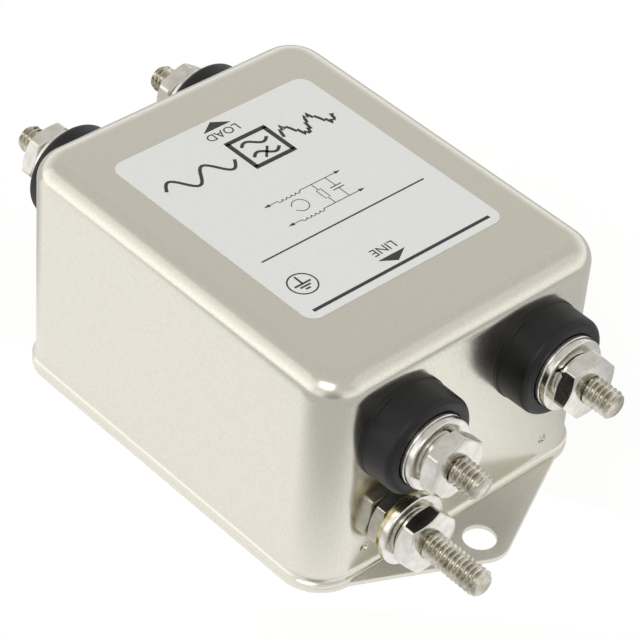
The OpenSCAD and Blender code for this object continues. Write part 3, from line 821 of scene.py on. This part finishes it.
def stroke(shell, path, width):
    """A drawn line of even width. Its points and width are in millimetres."""
    points = [Vector(p) * MM for p in path]
    rings = []
    for i, point in enumerate(points):
        before = points[max(i - 1, 0)]
        after = points[min(i + 1, len(points) - 1)]
        way = (after - before).normalized()
        side = Vector((-way.y, way.x)) * width * MM / 2
        left, right = point + side, point - side
        corners = [(left, -PRINT), (right, -PRINT), (right, 0), (left, 0)]
        rings.append([shell.verts.new((p.x, p.y, z)) for p, z in corners])
    bridge(shell, rings)


def ring_path(centre, radius, first=0, last=360):
    """Points in millimetres round a circle, one each ten degrees, angles in degrees."""
    for degree in range(first, last + 1, 10):
        a = radians(degree)
        yield centre[0] + radius * cos(a), centre[1] + radius * sin(a)


def patch(shell, outline):
    """A filled shape with corners in millimetres."""
    slab(shell, [Vector(p) * MM for p in outline], -PRINT, 0)


def wave(start, length, height, cycles):
    """Points along a sine wave."""
    steps = cycles * 16
    for i in range(steps + 1):
        part = i / steps
        yield start[0] + length * part, start[1] + height * sin(2 * pi * cycles * part)


def bumps(start, length, count):
    """Points along a coil symbol: half circles side by side."""
    radius = length / count / 2
    for i in range(count):
        centre = start[0] + radius * (2 * i + 1)
        for step in range(9):
            a = pi - pi * step / 8
            yield centre + radius * cos(a), start[1] + radius * sin(a)


def words(shell, text, centre, height):
    """Plain capital letters, centred, height in millimetres."""
    cap_share = 0.7  # a capital's height as a share of the font's size
    curve = bpy.data.curves.new("words", "FONT")
    curve.body = text
    curve.size = height * MM / cap_share
    curve.align_x = "CENTER"
    curve.resolution_u = 4
    curve.extrude = PRINT / 2
    holder = bpy.data.objects.new("words", curve)
    bpy.context.collection.objects.link(holder)
    view = bpy.context.evaluated_depsgraph_get()
    mesh = bpy.data.meshes.new_from_object(holder.evaluated_get(view))
    foot = (centre[0] * MM, (centre[1] - height / 2) * MM, -PRINT / 2)
    mesh.transform(Matrix.Translation(foot))
    shell.from_mesh(mesh)
    bpy.data.objects.remove(holder)


def circuit(shell):
    """A line filter's plain circuit: two coils on one core, a resistor and a capacitor."""
    thin, plate = 0.12, 0.16
    upper, lower = -0.9, 4.1
    middle = (upper + lower) / 2
    end, coil_from, coil_to = 6.2, 0.6, 4.6
    head, head_half = 0.8, 0.3
    for level in (upper, lower):
        stroke(shell, [(-end, level), (coil_from, level)], thin)
        stroke(shell, list(bumps((coil_from, level), coil_to - coil_from, 5)), thin)
        stroke(shell, [(coil_to, level), (end, level)], thin)
        for side in (-1, 1):
            tip = side * (end + head)
            back = side * (end - 0.2)
            wing = side * head_half
            patch(shell, [(back, level + wing), (back, level - wing), (tip, level)])

    capacitor, plate_half, plate_gap = -4.2, 1.0, 0.3
    for start, stop in ((upper, middle - plate_gap), (middle + plate_gap, lower)):
        stroke(shell, [(capacitor, start), (capacitor, stop)], thin)
    for level in (middle - plate_gap, middle + plate_gap):
        stroke(shell, [(capacitor - plate_half, level), (capacitor + plate_half, level)], plate)

    resistor, wide, tall = -1.6, 0.4, 1
    for start, stop in ((upper, middle - tall), (middle + tall, lower)):
        stroke(shell, [(resistor, start), (resistor, stop)], thin)
    corners = [(-wide, -tall), (wide, -tall), (wide, tall), (-wide, tall), (-wide, -tall)]
    stroke(shell, [(resistor + x, middle + y) for x, y in corners], thin)
    stroke(shell, list(ring_path((2.6, middle), 1.25, 20, 340)), thin)


def filter_symbol(shell):
    """A rough wave enters a box with the low-pass sign and leaves it as one clean wave."""
    level, half = -11.6, 3.2
    left, right = -5.2, 1.6
    line, frame_line, cut = 0.5, 0.75, 0.4
    over = 0.35  # how far the box's long sides run past its corners
    rough = [(x, y + 0.55 * sin(9 * x)) for x, y in wave((-15.2, level), 9.2, 1.6, 2)]
    stroke(shell, rough, line)
    for x, way in ((left, 1), (right, -1)):
        stroke(shell, [(x, level - way * half), (x, level + way * half)], frame_line)
        y = level + way * half
        stroke(shell, [(left - over, y), (right + over, y)][::way], frame_line)
    for rise in (-1.35, 1.35):
        stroke(shell, list(wave((-4.1, level + rise), 4.6, 0.7, 1)), line)
    stroke(shell, [(-2.7, level + 0.4), (-0.9, level + 2.3)], cut)
    stroke(shell, list(wave((3.0, level), 12.2, 1.6, 2)), line)


def earth_symbol(shell, centre):
    """The plain protective earth sign: a stem, three bars that shorten, and a ring."""
    x, y = centre
    stem, bar_gap, line = 1.7, 0.55, 0.3
    stroke(shell, [(x, y - stem), (x, y)], line)
    for i, half in enumerate((1.4, 0.9, 0.4)):
        stroke(shell, [(x - half, y + bar_gap * i), (x + half, y + bar_gap * i)], line)
    stroke(shell, list(ring_path(centre, 2.1)), 0.22)


def make_label():
    """The film on the roof, and everything printed on it as one thin piece."""
    low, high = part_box("label")
    corner = 2 * MM
    half_x, half_y = (high.y - low.y) / 2 - corner, (high.x - low.x) / 2 - corner
    outline = []
    for _, points in rounded_corners(half_x, half_y, corner, 10):
        outline += points
    film = bmesh.new()
    slab(film, outline, low.z - high.z, -PRINT)
    sheet = as_object("label_film", film)
    sheet.data.transform(label_place())
    settle(sheet, FILM, ["label"])

    # Places on the label in millimetres: the ruled lines, the end marks and the symbols
    ink = bmesh.new()
    stroke(ink, [(-16.2, 19.15), (16.2, 19.15)], 0.55)
    stroke(ink, [(-14.95, 7.6), (14.95, 7.6)], 0.26)
    patch(ink, [(-2.4, -18.6), (2.6, -18.6), (0.1, -20.2)])
    patch(ink, [(2.5, 16.9), (-2.4, 16.9), (0.1, 18.4)])
    words(ink, "LOAD", (0.2, -17.2), 1.5)
    words(ink, "LINE", (0.1, 15.4), 1.5)
    circuit(ink)
    filter_symbol(ink)
    earth_symbol(ink, (13.6, 14.2))
    sheet = as_object("label_print", ink)
    sheet.data.transform(label_place())
    settle(sheet, INK, [])


# ---------- Filter network inside ----------


def wire_turn(core_radius, core_hole, height, wire):
    """One turn of round wire bent round the core's section, in the XZ plane."""
    sides = 12
    gap = WIRE_GAP + wire / 2
    bend = wire * 0.75
    low, high = -height / 2 - gap, height / 2 + gap
    near, far = core_hole - gap, core_radius + gap
    path = []
    for cx, cz, start in [(far, high, 0), (near, high, 90), (near, low, 180), (far, low, 270)]:
        inward = (cx - bend if cx == far else cx + bend, cz - bend if cz == high else cz + bend)
        path += arc(inward, bend, start, start + 90, 5)
    shell = bmesh.new()
    rings = []
    for i, (x, z) in enumerate(path):
        before, after = Vector(path[i - 1]), Vector(path[(i + 1) % len(path)])
        way = (after - before).normalized()
        side = Vector((way.y, 0, -way.x))
        ring = []
        for k in range(sides):
            a = 2 * pi * k / sides
            offset = side * cos(a) + Vector((0, 1, 0)) * sin(a)
            ring.append(shell.verts.new(Vector((x, 0, z)) + offset * wire / 2))
        rings.append(ring)
    bridge(shell, rings, closed=True)
    return shell


def make_windings():
    """The choke's two windings, each a row of wire turns round the core."""
    low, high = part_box("choke_core")
    core = (high.x - low.x) / 2
    wire = (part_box("winding_1")[1].z - high.z) - WIRE_GAP
    centre = ((low.x + high.x) / 2, 0, (low.z + high.z) / 2)
    turns, cover = 9, radians(140)
    step = cover / turns
    values = {"Count": turns, "Step": step, "Centre": centre, "Finish": COPPER}
    tree = round_a_ring_tree()
    for name, side in (("winding_1", -1), ("winding_2", 1)):
        one = as_object(name + "_turn", wire_turn(core, CORE_HOLE, high.z - low.z, wire * 0.98))
        one.data.shade_smooth()
        winding = bpy.data.objects.new("wound_" + name, bpy.data.meshes.new(name))
        bpy.context.collection.objects.link(winding)
        first = side * pi / 2 - step * (turns - 1) / 2
        grown(winding, tree, {**values, "Piece": one, "First": first})
        bpy.data.objects.remove(one)
        settle(winding, COPPER, [name], smooth=60)


def dress(finish, *names):
    """A CAD piece whose shape is right keeps its mesh and takes a finish."""
    for name in names:
        slots = nodes[name].data.materials
        slots.clear()
        slots.append(finish)


def make_inside():
    """The filter network: wound windings, and finishes for the pieces that stay as they are."""
    make_windings()
    dress(PLATE, "base_clips")
    dress(PHENOLIC, "inner_insulators")
    dress(LUG, "terminal_lugs", "ground_lug")
    dress(BOARD, "base_liner", "winding_divider")
    dress(FERRITE, "choke_core")
    dress(FILM_CASE, "x_capacitor")
    dress(DIP_COAT, "y_capacitor_1", "y_capacitor_2")
    dress(LACQUER, "bleed_resistor")
    dress(BLACK_WIRE, "line_lead_1", "line_lead_2", "load_lead_1", "load_lead_2")
    dress(GREEN_WIRE, "ground_lead")


# ---------- Studio ----------


def make_floor():
    """A wide round floor, a hair below the base plate."""
    shell = bmesh.new()
    bmesh.ops.create_circle(shell, cap_ends=True, segments=96, radius=3.0)
    ground = as_object("floor", shell)
    ground.data.transform(Matrix.Translation((0, 0, -0.02 * MM)))
    if ground.data.polygons[0].normal.z < 0:
        ground.data.flip_normals()
    ground.data.materials.append(studio_white())


def make_lamp(name, way, distance, size, power):
    """A rectangular softbox that faces the part from a direction."""
    lamp = bpy.data.lights.new(name, "AREA")
    lamp.shape = "RECTANGLE"
    lamp.size, lamp.size_y = size
    lamp.energy = power
    holder = bpy.data.objects.new(name, lamp)
    way = Vector(way).normalized()
    holder.location = way * distance
    holder.rotation_euler = way.to_track_quat("Z", "Y").to_euler()
    bpy.context.collection.objects.link(holder)


def make_world():
    """A pale room, white at the horizon, softer grey overhead and dim behind the viewer."""
    dim_way = (0.7, -0.71, 0.05)  # toward the viewer
    world = bpy.data.worlds.new("pale_room")
    bpy.context.scene.world = world
    world.use_nodes = True
    tree = world.node_tree
    way = add(tree, "ShaderNodeTexCoord").outputs["Generated"]
    up = add(tree, "ShaderNodeSeparateXYZ", {0: way}).outputs["Z"]
    front = add(tree, "ShaderNodeVectorMath", {0: way, 1: dim_way}, operation="DOT_PRODUCT")
    dim = {"Value": front.outputs["Value"], "From Min": 0.86, "From Max": 0.98}
    dim.update({"To Min": 1.06, "To Max": 0.35})
    dim = add(tree, "ShaderNodeMapRange", dim).outputs[0]
    rise = {"Value": up, "From Min": 0.2, "From Max": 0.6}
    rise = add(tree, "ShaderNodeMapRange", rise).outputs[0]
    room = {0: rise, 6: linear("ffffff"), 7: linear("d0cecb")}
    room = add(tree, "ShaderNodeMix", room, data_type="RGBA").outputs[2]
    sky = add(tree, "ShaderNodeBackground", {"Color": room, "Strength": dim})
    paper = add(tree, "ShaderNodeBackground", {"Color": (1, 1, 1, 1), "Strength": 1.0})
    seen = add(tree, "ShaderNodeLightPath").outputs["Is Camera Ray"]
    both = add(tree, "ShaderNodeMixShader", {0: seen, 1: sky.outputs[0], 2: paper.outputs[0]})
    tree.links.new(both.outputs[0], tree.nodes["World Output"].inputs["Surface"])


def make_camera():
    """Three-quarter view from above the LINE end, with a long lens."""
    azimuth, elevation, roll = radians(44.304), radians(40.233), radians(5.06)
    distance, aside, above = 404.467 * MM, 3.347 * MM, 11.233 * MM
    back = Vector((sin(azimuth) * cos(elevation), -cos(azimuth) * cos(elevation), sin(elevation)))
    level = Vector((cos(azimuth), sin(azimuth), 0))
    rise = back.cross(level)
    right = level * cos(roll) + rise * sin(roll)
    up = rise * cos(roll) - level * sin(roll)
    lens = bpy.data.cameras.new("camera")
    lens.sensor_width = 36
    lens.lens = 156.98
    lens.clip_start = 0.01
    lens.clip_end = 20
    holder = bpy.data.objects.new("camera", lens)
    place = Matrix.Translation(right * aside + up * above + back * distance)
    holder.matrix_world = place @ Matrix((right, up, back)).transposed().to_4x4()
    bpy.context.collection.objects.link(holder)
    bpy.context.scene.camera = holder


make_can()
make_base_plate()
make_terminals()
make_ground()
make_label()
make_inside()
make_floor()
make_world()
make_lamp("left_softbox", (-0.53, -0.65, 0.34), 0.9, (1.1, 0.85), 1.0)
make_lamp("right_softbox", (0.62, 0.55, 0.56), 0.9, (0.8, 0.7), 0.25)
make_lamp("front_softbox", (0.25, -0.62, 0.74), 1.0, (0.5, 0.4), 1.5)
make_camera()
bpy.context.scene.view_settings.view_transform = "Standard"
